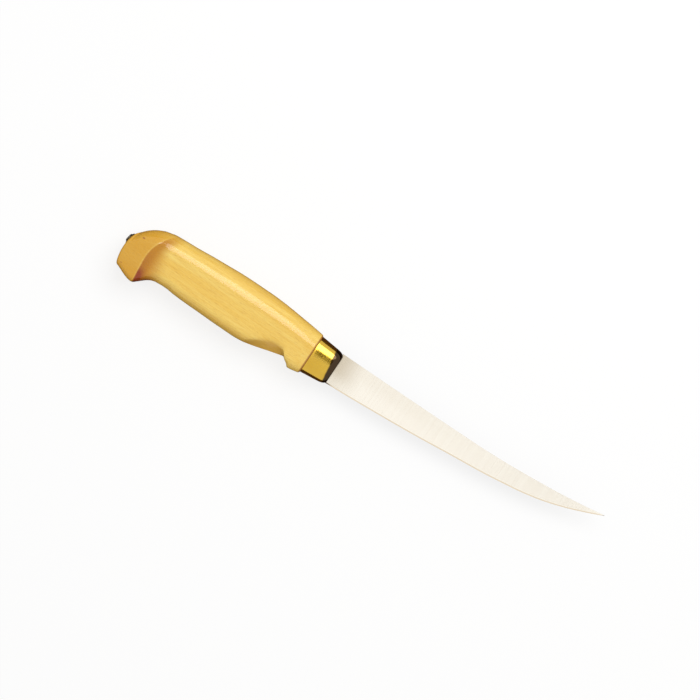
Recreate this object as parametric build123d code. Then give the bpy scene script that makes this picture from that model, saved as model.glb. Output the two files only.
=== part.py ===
from build123d import *
import math
import os

# Fillet knife, millimetres. While modelling, X = 0 is the front face of the ferrule, +X runs to the
# tip of the blade, +Y to its spine and Z = 0 is the middle of the blade's thickness. At the end
# everything moves so that the origin is the middle of the base of the whole knife.

# Blade
blade_length = 150.3
tip_height = 14.6
heel_thickness = 1.7
heel_edge_thickness = 1.35
tip_thickness = 0.55
edge_bevel_height = 0.6
ground_edge_thickness = 0.42
cutting_edge_thickness = 0.1

# Tang, its peened head and the washer under the head
tang_thickness = 1.3
tang_root_height = 8.4
tang_end_height = 3.4
tang_front_height = -0.4
tang_butt_height = -3.1
washer_diameter = 6.2
washer_thickness = 1.1
washer_seat_depth = 0.35
washer_clearance = 0.1
head_diameter = 4.4
head_height = 0.6
crown_share = 0.7

# Bore for the tang
bore_clearance = 0.4
rear_bore_length = 26.0

# Ferrule
ferrule_length = 13.7
ferrule_wall = 0.8
ferrule_rear_back = 10.0
ferrule_rear_belly = 10.5
ferrule_rear_half_width = 7.4
ferrule_narrowing = 1.5
ferrule_back_round = 6.2
ferrule_belly_round = 4.8
ferrule_nose_length = 2.0
ferrule_nose_radius = 1.8
cavity_edge = 0.6
slot_clearance = 0.06
tenon_clearance = 0.12

# Handle, from the ferrule back to the butt
handle_length = 105.8
back_height = 13.5
belly_depth = 14.5
grip_half_width = 9.25
shoulder_height = 3.5
belly_corner = 5.0
sanding_allowance = 0.3
wood_lip = 0.6
wood_edge = 0.6
waist_start = 86.0
taper_start = 8.0

# Pommel
cheek_length = 11.1
ridge_half_width = 11.0
ridge_radius = 29.4
ridge_centre_depth = 9.9
butt_radius = 26.0
butt_centre_depth = 7.5
cheek_corner = 2.4
cheek_round = 8.5
butt_edge = 0.9

# Finger notch
scoop_inner_half_width = 4.5
notch_radius = 1.4

# Allowance by which a cutting shape runs past what it cuts
overrun = 2.0

# Side outline of the blade: share of its length, then height of the spine and of the edge as
# shares of the height of the tip, then share of the change from heel thickness to tip thickness
blade_shares = [
    (0.000, 0.575, -0.562, 0.00),
    (0.080, 0.573, -0.527, 0.08),
    (0.260, 0.568, -0.397, 0.26),
    (0.460, 0.575, -0.225, 0.46),
    (0.630, 0.616, -0.050, 0.63),
    (0.760, 0.700, 0.140, 0.76),
    (0.860, 0.803, 0.415, 0.86),
    (0.940, 0.908, 0.735, 0.94),
    (0.995, 0.992, 0.968, 1.00),
]
# Share of the blade's length over which the flat grind reaches its full depth, and the largest
# share of the blade's height that the edge bevel takes near the tip
grind_run_share = 0.1
bevel_height_share = 0.4

# Carved bar of grip and neck: share of the handle's length behind the wood's front, then back,
# belly and half width as shares of back_height, belly_depth and grip_half_width
bar_shares = [
    (0.165, 0.926, 0.903, 1.000),
    (0.354, 1.000, 1.000, 1.000),
    (0.543, 0.956, 0.979, 1.000),
    (0.730, 0.856, 0.917, 1.000),
    (0.845, 0.785, 1.175, 0.985),
    (0.905, 0.620, 1.640, 1.215),
]

# Pommel block: the same shares, with half width as a share of ridge_half_width
pommel_shares = [
    (0.795, 0.838, 1.560, 0.865),
    (0.845, 0.792, 1.455, 0.950),
    (0.895, 0.681, 1.340, 1.015),
    (0.950, 0.440, 1.220, 0.930),
    (1.010, -0.020, 1.090, 0.820),
]

# Finger notch: share of the handle's length behind the wood's front and share of belly_depth,
# from the belly to the peak of the notch and down to the foot of the guard
notch_shares = [(0.312, 1.010), (0.104, 0.610), (0.057, 0.880)]

# Scoop over the notch on each side: the same shares on the side of the grip and on its underside
scoop_side_shares = [
    (0.300, 0.905),
    (0.222, 0.524),
    (0.156, 0.372),
    (0.123, 0.428),
    (0.096, 0.607),
]
scoop_under_shares = [
    (0.318, 1.030),
    (0.240, 0.880),
    (0.174, 0.753),
    (0.128, 0.664),
    (0.100, 0.615),
]

# How far a smooth cubic that turns a corner like a quarter ellipse reaches towards that corner
round_share = 0.5523

# Places along X
wood_front = -ferrule_length
butt = wood_front - handle_length
blade_shoulder = -ferrule_wall
ridge_front = butt + cheek_length
ridge_centre = (ridge_front + ridge_radius, -ridge_centre_depth)
butt_centre = (butt + butt_radius, -butt_centre_depth)


def across(x):
    # Plane square to the knife at x, whose own axes are the knife's Y and Z
    return Plane(origin=(x, 0, 0), x_dir=(0, 1, 0), z_dir=(1, 0, 0))


def along_handle(share):
    # X of a place given as a share of the handle's length behind the wood's front
    return wood_front - share * handle_length


def quarter_round(start, corner, end):
    # Quarter of an ellipse from start to end inside a square corner
    near_start = Vector(start) + (Vector(corner) - Vector(start)) * round_share
    near_end = Vector(end) + (Vector(corner) - Vector(end)) * round_share
    return Bezier(start, near_start, near_end, end)


def slab_section(x, back, belly, half_width, shoulder, corner):
    # Rounded slab: half an ellipse over the back, straight sides, rounded belly corners
    side = half_width - corner
    turn = -belly + corner
    outline = [
        quarter_round((back, 0), (back, half_width), (shoulder, half_width)),
        Line((shoulder, half_width), (turn, half_width)),
        quarter_round((turn, half_width), (-belly, half_width), (-belly, side)),
        Line((-belly, side), (-belly, -side)),
        quarter_round((-belly, -side), (-belly, -half_width), (turn, -half_width)),
        Line((turn, -half_width), (shoulder, -half_width)),
        quarter_round((shoulder, -half_width), (back, -half_width), (back, 0)),
    ]
    return across(x) * make_face(outline)


def blade_section(x, spine, edge, thickness, edge_thickness):
    # Flat-ground section with a small bevel along the cutting edge
    bevel = edge + min(edge_bevel_height, bevel_height_share * (spine - edge))
    half = thickness / 2
    ground = edge_thickness / 2
    cutting = cutting_edge_thickness / 2
    outline = Polyline(
        (spine, half),
        (bevel, ground),
        (edge, cutting),
        (edge, -cutting),
        (bevel, -ground),
        (spine, -half),
        close=True,
    )
    return across(x) * make_face(outline)


def ground_blade():
    # Blade from its shoulder inside the ferrule to the tip
    sections = []
    for length_share, spine_share, edge_share, thin_share in blade_shares:
        x = blade_shoulder + length_share * (blade_length - blade_shoulder)
        thickness = heel_thickness + thin_share * (tip_thickness - heel_thickness)
        ground = min(1, length_share / grind_run_share)
        behind_edge = heel_edge_thickness + ground * (ground_edge_thickness - heel_edge_thickness)
        spine = spine_share * tip_height
        edge = edge_share * tip_height
        sections.append((x, spine, edge, thickness, min(behind_edge, thickness)))
    return loft([blade_section(*section) for section in sections])


def tang_frame():
    # Frame of the tang: origin at the blade's shoulder, its z running to the butt
    start = Vector(blade_shoulder, tang_front_height, 0)
    end = Vector(butt, tang_butt_height, 0)
    return Plane(origin=start, x_dir=(0, 0, 1), z_dir=end - start)


def seat_distance():
    # Distance along the tang from the shoulder to the floor of the washer's seat
    rise = butt_centre_depth + tang_butt_height
    surface = butt_centre[0] - math.sqrt(butt_radius**2 - rise**2)
    return blade_shoulder - surface - washer_seat_depth


def tang_height_at(distance):
    share = distance / seat_distance()
    return tang_root_height + share * (tang_end_height - tang_root_height)


def stick_tang():
    # Flat tapered tang through the handle and the washer, ending in the peened head
    washer_face = seat_distance() + washer_thickness
    root = Plane.XY.offset(-overrun) * Rectangle(tang_thickness, tang_root_height)
    end_plane = Plane.XY.offset(washer_face)
    tip = end_plane * Rectangle(tang_thickness, tang_end_height)
    body = loft([root, tip], ruled=True)
    head = end_plane * Cylinder(head_diameter / 2, head_height, align=(Align.CENTER, Align.CENTER, Align.MIN))
    crown = head.faces().sort_by(Axis.Z)[-1].edges()
    head = fillet(crown, crown_share * head_height)
    return tang_frame() * (body + head)


def make_blade():
    return ground_blade() + stick_tang()


def ferrule_outline(x, inset):
    # Rounded outline of the cap at x, set in from the outer face by the inset
    spread = ferrule_narrowing * (wood_front - x) / ferrule_length - inset
    depth = ferrule_rear_back + ferrule_rear_belly + 2 * spread
    middle = (ferrule_rear_back - ferrule_rear_belly) / 2
    face = Pos(middle, 0) * Rectangle(depth, 2 * (ferrule_rear_half_width + spread))
    back_corners = face.vertices().group_by(Axis.X)[-1]
    face = fillet(back_corners, ferrule_back_round + spread)
    belly_corners = face.vertices().group_by(Axis.X)[0]
    return across(x) * fillet(belly_corners, ferrule_belly_round + spread)


def tapered_plug(inset, x_rear, x_front):
    # The cap's straight taper between two places along X
    lean = math.degrees(math.atan2(ferrule_narrowing, ferrule_length))
    return extrude(ferrule_outline(x_rear, inset), x_front - x_rear, taper=lean)


def front_edges(solid):
    return solid.faces().sort_by(Axis.X)[-1].edges()


def cavity_plug(inset, x_rear):
    # What fills the cap as far as its front wall, with a broken front edge
    plug = tapered_plug(inset, x_rear, blade_shoulder)
    return chamfer(front_edges(plug), cavity_edge)


def make_ferrule():
    # Deep-drawn cap: taper, short straight nose with a rounded edge, and a slot for the blade
    taper = tapered_plug(0, wood_front, -ferrule_nose_length)
    nose = extrude(ferrule_outline(-ferrule_nose_length, 0), ferrule_nose_length)
    nose = fillet(front_edges(nose), ferrule_nose_radius)
    cavity = cavity_plug(ferrule_wall, wood_front - overrun)
    slot_width = heel_thickness + 2 * slot_clearance
    slot_height = 2 * (ferrule_rear_back + ferrule_rear_belly)
    slot = Box(overrun, slot_height, slot_width, align=(Align.MIN, Align.CENTER, Align.CENTER))
    return taper + nose - cavity - Pos(blade_shoulder, 0, 0) * slot


def front_section():
    # Front of the wood, which stands a lip proud of the ferrule all round
    return slab_section(
        wood_front,
        ferrule_rear_back + wood_lip,
        ferrule_rear_belly + wood_lip,
        ferrule_rear_half_width + wood_lip + sanding_allowance,
        shoulder_height,
        belly_corner,
    )


def carved_bar():
    # Grip and neck as one bar whose sections swell and turn down into the beak
    sections = [front_section()]
    for length_share, back_share, belly_share, width_share in bar_shares:
        section = slab_section(
            along_handle(length_share),
            back_share * back_height,
            belly_share * belly_depth,
            width_share * grip_half_width + sanding_allowance,
            shoulder_height,
            belly_corner,
        )
        sections.append(section)
    return loft(sections)


def front_of_ridge():
    # Everything in front of the curved ridge that parts the neck from the pommel's cheeks
    reach = 2 * ridge_half_width
    disc = Pos(*ridge_centre) * Cylinder(ridge_radius, 2 * reach)
    length = -ridge_centre[0]
    tall = 4 * ridge_radius
    block = Box(length, tall, 2 * reach, align=(Align.MIN, Align.CENTER, Align.CENTER))
    return disc + Pos(*ridge_centre) * block


def side_cutter():
    # What is planed off one side: flat along the grip, tapering in towards the ferrule
    front_half_width = ferrule_rear_half_width + wood_lip
    outside = 2 * ridge_half_width
    outline = Polyline(
        (wood_front - waist_start - overrun, grip_half_width + overrun / 8),
        (wood_front - waist_start, grip_half_width),
        (wood_front - taper_start, grip_half_width),
        (wood_front, front_half_width),
        (wood_front + overrun, front_half_width),
        (wood_front + overrun, outside),
        (wood_front - waist_start - overrun, outside),
        close=True,
    )
    upright = Plane(origin=(0, 0, 0), x_dir=(1, 0, 0), z_dir=(0, -1, 0))
    return extrude(upright * make_face(outline), 2 * belly_depth, both=True)


def notch_cutter():
    # Finger notch, cut square through from side to side
    places = [(along_handle(a), -b * belly_depth) for a, b in notch_shares]
    below = -2 * belly_depth
    outline = Polyline(*places, (places[2][0], below), (places[0][0], below), close=True)
    face = make_face(outline)
    peak = face.vertices().sort_by(Axis.Y)[-1]
    return extrude(fillet(peak, notch_radius), 2 * grip_half_width, both=True)


def scoop_face(points, height):
    below = -2 * belly_depth
    curve = Spline(*points)
    sides = Polyline(points[-1], (points[-1][0], below), (points[0][0], below), points[0])
    return Pos(0, 0, height) * make_face([curve, sides])


def scoop_cutter():
    # Hollowed bevel that eases one side of the grip down into the notch
    outer = [(along_handle(a), -b * belly_depth) for a, b in scoop_side_shares]
    inner = [(along_handle(a), -b * belly_depth) for a, b in scoop_under_shares]
    run = grip_half_width - scoop_inner_half_width
    extra_share = overrun / run
    past = [
        (o[0] + extra_share * (o[0] - i[0]), o[1] + extra_share * (o[1] - i[1]))
        for o, i in zip(outer, inner)
    ]
    faces = [scoop_face(inner, scoop_inner_half_width), scoop_face(past, grip_half_width + overrun)]
    return loft(faces, ruled=True)


def grip_and_neck():
    blank = carved_bar()
    bar = chamfer(front_edges(blank), wood_edge) & front_of_ridge()
    for cutter in (side_cutter(), scoop_cutter()):
        bar = bar - cutter - mirror(cutter, Plane.XY)
    return bar - notch_cutter()


def pommel():
    # Beaked block behind the ridge, with a curved butt and a narrow flat land along the ridge
    sections = []
    for length_share, back_share, belly_share, width_share in pommel_shares:
        back = back_share * back_height
        section = slab_section(
            along_handle(length_share),
            back,
            belly_share * belly_depth,
            width_share * ridge_half_width,
            back - cheek_round,
            cheek_corner,
        )
        sections.append(section)
    block = loft(sections)
    butt_disc = Pos(*butt_centre) * Cylinder(butt_radius, 2 * ridge_half_width)
    block = block & butt_disc
    butt_edges = block.faces().sort_by(Axis.X)[0].edges()
    return chamfer(butt_edges, butt_edge) - front_of_ridge()


def tang_bore():
    # Wide bore from the tenon, then a narrow one up to the washer's seat
    seat = seat_distance()
    step = seat - rear_bore_length
    wide = tang_root_height + 2 * bore_clearance
    narrow = tang_height_at(step) + 2 * bore_clearance
    base = (Align.CENTER, Align.CENTER, Align.MIN)
    front_bore = Pos(0, 0, -overrun) * Cylinder(wide / 2, step + overrun, align=base)
    rear_bore = Pos(0, 0, step) * Cylinder(narrow / 2, rear_bore_length, align=base)
    return tang_frame() * (front_bore + rear_bore)


def washer_seat():
    radius = washer_diameter / 2 + washer_clearance
    seat = Cylinder(radius, overrun, align=(Align.CENTER, Align.CENTER, Align.MIN))
    return tang_frame() * (Pos(0, 0, seat_distance()) * seat)


def make_handle():
    tenon = cavity_plug(ferrule_wall + tenon_clearance, wood_front - overrun)
    return grip_and_neck() + pommel() + tenon - tang_bore() - washer_seat()


def make_tang_bedding():
    # Fills the bore round the tang, flush with the blade's shoulders in front
    behind = Box(
        2 * handle_length,
        2 * belly_depth,
        2 * belly_depth,
        align=(Align.MAX, Align.CENTER, Align.CENTER),
    )
    return (tang_bore() & Pos(blade_shoulder, 0, 0) * behind) - stick_tang()


def make_butt_washer():
    base = (Align.CENTER, Align.CENTER, Align.MIN)
    disc = Cylinder(washer_diameter / 2, washer_thickness, align=base)
    hole = Box(
        tang_thickness + 2 * washer_clearance,
        tang_end_height + 4 * washer_clearance,
        2 * washer_thickness,
    )
    return tang_frame() * (Pos(0, 0, seat_distance()) * (disc - hole))


nodes = {
    "blade": make_blade(),
    "ferrule": make_ferrule(),
    "handle": make_handle(),
    "tang_bedding": make_tang_bedding(),
    "butt_washer": make_butt_washer(),
}

whole = Compound(list(nodes.values())).bounding_box()
base_middle = Vector(whole.center().X, whole.center().Y, whole.min.Z)
os.makedirs("parts", exist_ok=True)
for name, solid in nodes.items():
    export_step(Pos(-base_middle) * solid, os.path.join("parts", name + ".step"))
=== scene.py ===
import bpy
import math
import numpy as np
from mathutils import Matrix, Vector


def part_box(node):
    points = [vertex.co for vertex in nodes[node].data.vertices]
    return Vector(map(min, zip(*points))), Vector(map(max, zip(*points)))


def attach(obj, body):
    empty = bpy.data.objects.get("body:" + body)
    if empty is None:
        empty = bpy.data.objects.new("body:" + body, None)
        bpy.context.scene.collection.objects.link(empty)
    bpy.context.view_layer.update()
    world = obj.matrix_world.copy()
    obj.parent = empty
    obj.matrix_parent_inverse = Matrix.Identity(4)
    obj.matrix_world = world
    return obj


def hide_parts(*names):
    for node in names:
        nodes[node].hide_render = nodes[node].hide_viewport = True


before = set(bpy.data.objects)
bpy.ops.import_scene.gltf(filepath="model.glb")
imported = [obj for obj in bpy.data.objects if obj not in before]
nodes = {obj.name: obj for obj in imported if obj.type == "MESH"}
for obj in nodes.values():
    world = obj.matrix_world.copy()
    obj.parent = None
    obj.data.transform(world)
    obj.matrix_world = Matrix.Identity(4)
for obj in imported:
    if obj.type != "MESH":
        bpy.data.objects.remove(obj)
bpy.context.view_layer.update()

mm = 0.001
quarterTurn = math.pi / 2

# The shapes below are written in millimetres in the knife's own drawing frame: x = 0 is the front
# of the ferrule, +x runs to the tip, +y to the spine and z = 0 is the middle plane of the blade.
# drawingOrigin is where that frame's zero lies in the row frame.
ferruleBack = 10.0
ferruleLow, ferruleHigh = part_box("ferrule")
drawingOrigin = np.array([
    ferruleHigh.x,
    ferruleHigh.y - ferruleBack * mm,
    (ferruleLow.z + ferruleHigh.z) / 2,
])
print("frame loaded, drawing origin", drawingOrigin)


# Helpers for the shapes
def curveThrough(points, x):
    # Monotone cubic through given points: between two points a Hermite cubic whose end slopes are the
    # harmonic means of the neighbouring chords, or zero where the chords change sign
    px, py = np.array(points, float).T
    step = np.diff(px)
    chord = np.diff(py) / step
    slope = np.zeros(len(px))
    both = chord[:-1] * chord[1:]
    weightA = 2 * step[1:] + step[:-1]
    weightB = step[1:] + 2 * step[:-1]
    safeA = np.where(both > 0, chord[:-1], 1.0)
    safeB = np.where(both > 0, chord[1:], 1.0)
    mean = (weightA + weightB) / (weightA / safeA + weightB / safeB)
    slope[1:-1] = np.where(both > 0, mean, 0.0)
    slope[0], slope[-1] = chord[0], chord[-1]
    x = np.clip(x, px[0], px[-1])
    k = np.clip(np.searchsorted(px, x, side="right") - 1, 0, len(px) - 2)
    h = step[k]
    t = (x - px[k]) / h
    return (
        (1 + 2 * t) * (1 - t) ** 2 * py[k]
        + t * (1 - t) ** 2 * h * slope[k]
        + t * t * (3 - 2 * t) * py[k + 1]
        + t * t * (t - 1) * h * slope[k + 1]
    )


def softMin(a, b, soft):
    # The smaller of two values, rounded over where they cross: half of their sum, less half of the
    # root of their difference squared plus soft squared
    return 0.5 * (a + b - np.sqrt((a - b) ** 2 + soft * soft))


def smoothStep(low, high, x):
    # 0 at low and 1 at high, held level outside, and between them three times the square of the
    # share of the way less twice its cube. With low above high it falls as x grows.
    t = np.clip((x - low) / (high - low), 0, 1)
    return t * t * (3 - 2 * t)


def ringSurface(name, rings, replaced):
    # Closed skin over a grid of points: rings[i, j] is point j round section i. The first and the
    # last section each close on one point, the mean of their own points.
    count, around = rings.shape[:2]
    poles = np.array([rings[0].mean(0), rings[-1].mean(0)])
    verts = np.vstack([rings.reshape(-1, 3), poles]) * mm + drawingOrigin
    i, j = np.meshgrid(np.arange(count - 1), np.arange(around), indexing="ij")
    jn = (j + 1) % around
    quads = np.stack([i * around + j, i * around + jn, (i + 1) * around + jn, (i + 1) * around + j], -1)
    quads = quads.reshape(-1, 4)
    ends = np.arange(around)
    endsNext = (ends + 1) % around
    last = (count - 1) * around
    capA = np.stack([np.full(around, count * around), endsNext, ends], -1)
    capB = np.stack([np.full(around, count * around + 1), last + ends, last + endsNext], -1)
    # Signed volume of the fan of triangles decides which way round the faces go
    tris = np.vstack([quads[:, [0, 1, 2]], quads[:, [0, 2, 3]], capA, capB])
    a, b, c = verts[tris[:, 0]], verts[tris[:, 1]], verts[tris[:, 2]]
    if (a * np.cross(b, c)).sum() < 0:
        quads, capA, capB = quads[:, ::-1], capA[:, ::-1], capB[:, ::-1]
    mesh = bpy.data.meshes.new(name)
    mesh.from_pydata(verts.tolist(), [], quads.tolist() + capA.tolist() + capB.tolist())
    mesh.polygons.foreach_set("use_smooth", np.ones(len(mesh.polygons), bool))
    mesh.update()
    piece = bpy.data.objects.new(name, mesh)
    bpy.context.scene.collection.objects.link(piece)
    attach(piece, "root")
    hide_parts(replaced)
    print("made", name, len(mesh.vertices), "points")
    return piece


def carryMeasure(piece, label, values):
    # One number for each point of the skin, kept in its mesh for the material. The two closing
    # points take the first and the last number.
    flat = values.reshape(-1)
    measure = piece.data.attributes.new(label, "FLOAT", "POINT")
    measure.data.foreach_set("value", np.append(flat, [flat[0], flat[-1]]).astype(np.float32))


# Handle
handle = {
    "woodFront": -13.7,
    "gripHalf": 9.25,
    "frontHalf": 8.0,
    "taperRun": 8.0,
    "taperPast": 3.0,
    "taperGain": 1.25,
    "ridgeHalf": 11.0,
    "buttHalf": 9.0,
    "ridgeRound": 0.28,
    "ridgeFade": (2.5, 11.0),
    "ridgeSink": 0.7,
    "crestRun": 1.2,
    "fallRun": 11.3,
    "fallMost": 1.1,
    "shoulder": 3.5,
    "cheekRound": 8.5,
    "cheekFullness": 0.84,
    "cheekRun": (-99.0, -107.0),
    "cornerLimits": (0.5, 9.0),
    "ridgeCentre": (-79.0, -9.9),
    "ridgeRadius": 29.4,
    "ridgeLean": [
        (-20.2, 0.4), (-16.5, 1.15), (-12.5, 1.35), (-8.5, 1.0), (-4.5, 0.5), (-0.5, 0.1), (3.0, 0.0),
    ],
    "coveEnd": -99.7,
    "coveLeast": 2.5,
    "covePower": 1.55,
    "buttCentre": (-93.5, -7.5),
    "buttRadius": 26.0,
    "buttReach": 20.0,
    "buttEdge": 1.3,
    "buttMiddle": -7.8,
    "buttSpan": 9.0,
    "rim": 0.6,
    "frontMiddle": -0.2,
    "frontShares": (0.94, 0.5),
    "scoopInner": 4.5,
    "scoopSoft": 1.1,
    "scoopLeast": 0.25,
    "back": [
        (-119.6, -3.2), (-118.7, -1.3), (-118.0, 0.4), (-116.2, 2.7), (-114.1, 5.0), (-111.2, 7.3),
        (-108.3, 8.9), (-106.2, 9.8), (-103.3, 10.5), (-101.2, 11.0), (-96.2, 11.35), (-86.2, 11.9),
        (-81.2, 12.35), (-71.2, 12.95), (-63.2, 13.4), (-56.2, 13.52), (-46.2, 13.5), (-38.2, 13.15),
        (-31.2, 12.55), (-26.2, 12.05), (-21.2, 11.55), (-13.7, 10.6),
    ],
    "belly": [
        (-119.6, -16.1), (-118.2, -16.5), (-106.8, -20.15), (-106.4, -19.95), (-104.8, -18.6),
        (-103.0, -17.0), (-101.2, -15.5), (-99.1, -14.3), (-96.2, -13.6), (-91.2, -13.35),
        (-86.2, -13.8), (-81.2, -14.05), (-71.2, -14.25), (-61.2, -14.45), (-51.2, -14.5),
        (-46.2, -14.15), (-41.2, -13.15), (-36.2, -11.85), (-31.2, -10.45), (-26.2, -9.2),
        (-24.9, -8.9), (-24.3, -9.0), (-23.5, -9.7), (-21.2, -11.3), (-20.7, -11.95), (-19.9, -12.3),
        (-13.7, -11.3),
    ],
    "uncutBelly": [(-60.0, -14.5), (-46.2, -14.15), (-31.2, -13.2), (-20.0, -12.3), (-13.7, -11.3)],
    "scoopSide": [
        (-47.4, -14.6), (-45.4, -13.1), (-41.2, -10.0), (-37.0, -7.5), (-33.1, -5.8), (-30.0, -5.4),
        (-27.4, -5.8), (-26.2, -6.5), (-25.0, -7.9), (-24.2, -8.8),
    ],
    "bellyRound": [
        (-119.0, 2.2), (-107.0, 2.4), (-104.0, 3.2), (-99.0, 5.0), (-24.0, 5.0), (-13.7, 4.6),
    ],
    "pointsRound": (34, 34, 16, 8),  # over the back, down the side, round the corner, under the belly
    "sections": [(-119.0, -96.0, 104), (-96.0, -48.0, 60), (-48.0, -18.0, 116)],
    "frontSections": 10,
    "buttStart": 0.02,
    "buttSections": (24, 9),  # over the arc and over its rounded edge
    "backAtButt": 9,  # points of the back that the butt follows
    "warpRun": (-107.0, 12.0),
    "warpRounds": 60,
}


def handleSection(x, part, along):
    # One side of the section: part 0 is a quarter of an ellipse over the back, 1 the flat side, 2 the
    # quarter circle to the belly and 3 the flat belly; along runs 0 to 1 in each
    back = curveThrough(handle["back"], x)
    belly = curveThrough(handle["belly"], x)
    shoulder = np.minimum(handle["shoulder"], back - handle["cheekRound"])
    uncut = np.where(x > handle["uncutBelly"][0][0], curveThrough(handle["uncutBelly"], x), belly)
    corner = np.clip(curveThrough(handle["bellyRound"], x) - (belly - uncut), *handle["cornerLimits"])
    angle = along * quarterTurn
    # The exponent below 1 fills the curve out over the pommel, so that it leaves the side softly
    full = 1 - (1 - handle["cheekFullness"]) * smoothStep(*handle["cheekRun"], x)
    up = np.clip(np.cos(angle), 0, 1) ** full
    out = np.clip(np.sin(angle), 0, 1) ** full
    half = handle["gripHalf"]
    onPart = [part == 0, part == 1, part == 2]
    y = np.select(
        onPart,
        [
            shoulder + (back - shoulder) * up,
            shoulder + (belly + corner - shoulder) * along,
            belly + corner - corner * np.sin(angle),
        ],
        belly,
    )
    z = np.select(
        onPart,
        [half * out, half, half - corner * (1 - np.cos(angle))],
        (half - corner) * (1 - along),
    )
    return y, z


def aheadOfRidge(x, y):
    # Distance along x from the ridge, positive in front of it: an arc that leans forward low down
    cx, cy = handle["ridgeCentre"]
    arc = cx - np.sqrt(np.clip(handle["ridgeRadius"] ** 2 - (y - cy) ** 2, 1, None))
    return x - arc - curveThrough(handle["ridgeLean"], y)


def handleWidth(x, y):
    # Half width of the sides: flat on the grip, narrowing to the ferrule, hollowed up to the ridge
    # in front of it as a power of the distance, and falling away in a straight line behind it. The
    # ridge sinks into the back towards its upper end.
    ahead = aheadOfRidge(x, y)
    reach = np.maximum(handle["coveEnd"] - x + ahead, handle["coveLeast"])
    fade = 1 - handle["ridgeSink"] * smoothStep(*handle["ridgeFade"], y)
    rise = (handle["ridgeHalf"] - handle["gripHalf"]) * fade
    cove = rise * np.clip(1 - ahead / reach, 0, 1) ** handle["covePower"]
    behind = np.clip(-ahead / handle["fallRun"], 0, handle["fallMost"])
    fall = (handle["ridgeHalf"] - handle["buttHalf"]) * behind
    crest = softMin(cove, rise - fall, handle["ridgeRound"])
    swell = np.where(ahead > handle["crestRun"], cove, crest)
    drawnIn = handle["gripHalf"] - handle["frontHalf"]
    front = handle["woodFront"]
    taper = smoothStep(front - handle["taperRun"], front + handle["taperPast"], x)
    return handle["gripHalf"] + swell - np.minimum(handle["taperGain"] * taper, 1) * drawnIn


def buttArc(y):
    # x of the butt at height y: the arc's centre less the root of the radius squared minus the
    # square of the height over that centre
    cx, cy = handle["buttCentre"]
    over = np.clip(y - cy, -handle["buttReach"], handle["buttReach"])
    return cx - np.sqrt(handle["buttRadius"] ** 2 - over ** 2)


def mirrored(half):
    # The points of one side, then those between its two ends once more in reverse order
    return np.concatenate([half, half[:, -2:0:-1]], 1)


def handleSections():
    # Sections along x, each warped more than the one in front of it near the butt, so that the first
    # follows the butt's arc, one rounded edge in front of it. Also gives how much wood the notch's
    # bevel takes off at each point.
    counts = handle["pointsRound"]
    part = np.append(np.concatenate([np.full(n, k) for k, n in enumerate(counts)]), len(counts) - 1)
    along = np.append(np.concatenate([np.arange(n) / n for n in counts]), 1.0)
    runs = [np.linspace(start, end, n, endpoint=False) for start, end, n in handle["sections"]]
    lastRun = (handle["sections"][-1][1], handle["woodFront"] - handle["rim"], handle["frontSections"])
    stations = np.concatenate([*runs, np.linspace(*lastRun)])
    straight = np.repeat(stations[:, None], len(part), 1)
    warpFrom, warpRun = handle["warpRun"]
    pull = np.clip((warpFrom - straight) / warpRun, 0, 1)
    # The warp follows y, which follows the warped x, so it is worked out in rounds until it settles
    x = straight
    y, z = handleSection(x, part, along)
    for _ in range(handle["warpRounds"]):
        x = straight + pull * (buttArc(y) + handle["buttEdge"] - stations[0])
        y, z = handleSection(x, part, along)
    z = z * handleWidth(x, y) / handle["gripHalf"]
    # Hollowed bevel over the notch: z may not pass the ruled surface from the side to the underside
    side = curveThrough(handle["scoopSide"], x)
    under = curveThrough(handle["belly"], x)
    inner = handle["scoopInner"]
    slant = (y - under) / np.maximum(side - under, handle["scoopLeast"])
    ruled = inner + (handle["gripHalf"] - inner) * slant
    inside = (x > handle["scoopSide"][0][0]) & (x < handle["scoopSide"][-1][0])
    bevelled = np.where(inside, np.clip(softMin(z, ruled, handle["scoopSoft"]), 0, None), z)
    cut = z - bevelled
    bevelled[:, [0, -1]] = 0
    sections = mirrored(np.stack([x, y, bevelled], -1))
    sections[:, len(part):, 2] *= -1
    return sections, mirrored(cut)


def buttCap(first):
    # The first section shrinks to the butt's middle over the arc, and near its own edge turns
    # forward as a quarter circle. Near the back it follows the outline's own curve, read as x over y.
    edge = handle["buttEdge"]
    edgeShare = 1 - edge / handle["buttSpan"]
    flatCount, edgeCount = handle["buttSections"]
    shares = np.concatenate([
        np.linspace(handle["buttStart"], edgeShare, flatCount, endpoint=False),
        1 - (1 - edgeShare) * (1 - np.sin(np.linspace(0, quarterTurn, edgeCount)[:-1])),
    ])
    middle = np.array([0, handle["buttMiddle"], 0])
    rings = middle + (first - middle) * shares[:, None, None]
    over = np.maximum(0, (shares - edgeShare) / (1 - edgeShare))
    turned = edge * (1 - np.sqrt(np.maximum(0, 1 - over * over)))
    backFromButt = [(y, x) for x, y in handle["back"][:handle["backAtButt"]]]
    outline = curveThrough(backFromButt, rings[..., 1])
    rings[..., 0] = np.maximum(buttArc(rings[..., 1]) + turned[:, None], outline)
    return rings


def frontCap(last):
    # A small chamfer and a flat face behind the ferrule: the last section drawn in to two shares of
    # its size
    centre = np.array([handle["woodFront"], handle["frontMiddle"], 0])
    rings = centre + (last - centre) * np.array(handle["frontShares"])[:, None, None]
    rings[..., 0] = handle["woodFront"]
    return rings
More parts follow.
